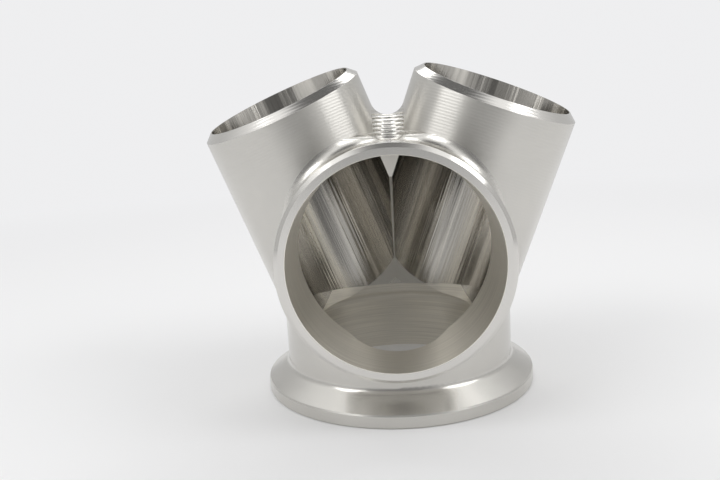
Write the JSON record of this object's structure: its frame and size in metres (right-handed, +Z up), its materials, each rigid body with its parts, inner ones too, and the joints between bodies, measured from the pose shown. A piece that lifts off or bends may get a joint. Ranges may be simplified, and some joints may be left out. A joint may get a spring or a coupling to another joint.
{
  "type": "exhaust collector",
  "caption": "Machined merge collector: leaning inlet tubes and a wide front port join above a round outlet barrel with a V-band flange.",
  "frame": {"origin": "centre of the flat sealing face of the V-band flange, on the axis of the outlet bore", "axes": "+Z up the outlet bore towards the inlets, -Y out of the front port, the inlets lean apart towards -X and +X"},
  "size_m": [0.1132, 0.0884, 0.0985],
  "materials": {
    "turned_steel": "turned, with fine rings",
    "satin_steel": "satin milled outside, polished bore",
    "milled_steel": "ball-milled, with fine cusps"
  },
  "bodies": {
    "root": {"v_band_flange": "turned_steel", "outlet_barrel": "turned_steel", "chamber_roof": "milled_steel", "crotch_web": "milled_steel", "port_collar": "milled_steel", "left_inlet_tube": "satin_steel", "right_inlet_tube": "satin_steel", "front_port_tube": "satin_steel"}
  },
  "joints": []
}
